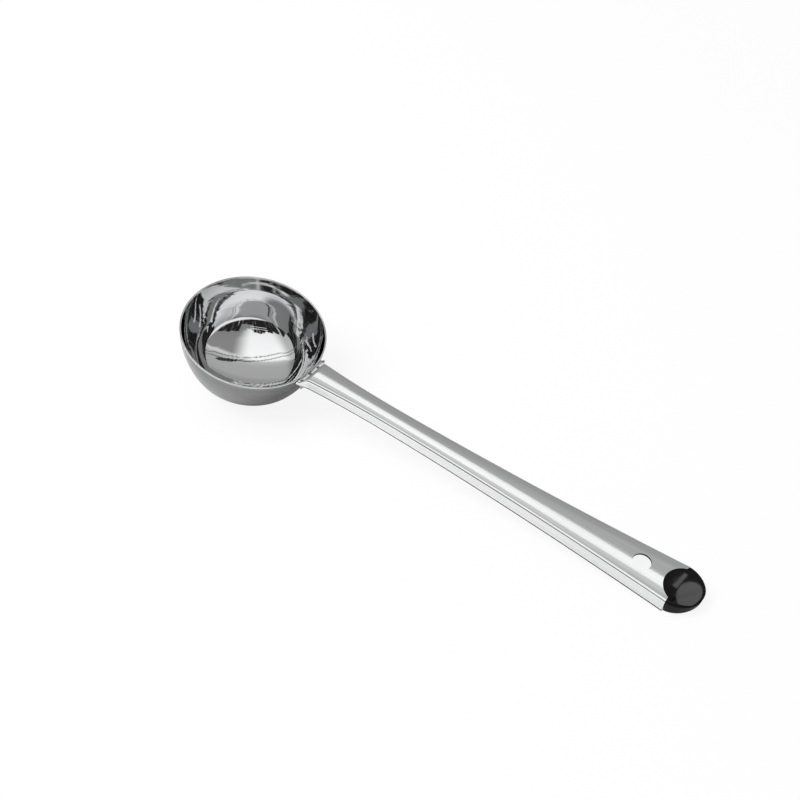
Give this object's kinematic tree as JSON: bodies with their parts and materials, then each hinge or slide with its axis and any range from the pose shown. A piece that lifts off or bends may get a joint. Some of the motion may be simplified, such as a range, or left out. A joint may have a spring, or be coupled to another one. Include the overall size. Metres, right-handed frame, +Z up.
{
  "type": "ladle",
  "caption": "Deep round steel ladle: a pressed bowl welded to a long tapering channel handle with a hanging hole and a black plastic end cap.",
  "frame": {"origin": "under the middle of the ladle's bounding box, at the level that it lies on", "axes": "+X from the bowl along the handle to its end, +Z up out of the bowl's mouth, +Y across the ladle"},
  "size_m": [0.3124, 0.08, 0.0467],
  "materials": {
    "bowl_steel": "mirror polished inside, satin outside",
    "handle_steel": "bright, with fine lengthwise brushing",
    "weld_steel": "dull, slightly darkened",
    "cap_plastic": "glossy black"
  },
  "bodies": {
    "root": {"bowl": "bowl_steel", "handle": "handle_steel", "end_cap": "cap_plastic", "spot_weld_1": "weld_steel", "spot_weld_2": "weld_steel", "spot_weld_3": "weld_steel", "spot_weld_4": "weld_steel"}
  },
  "joints": []
}
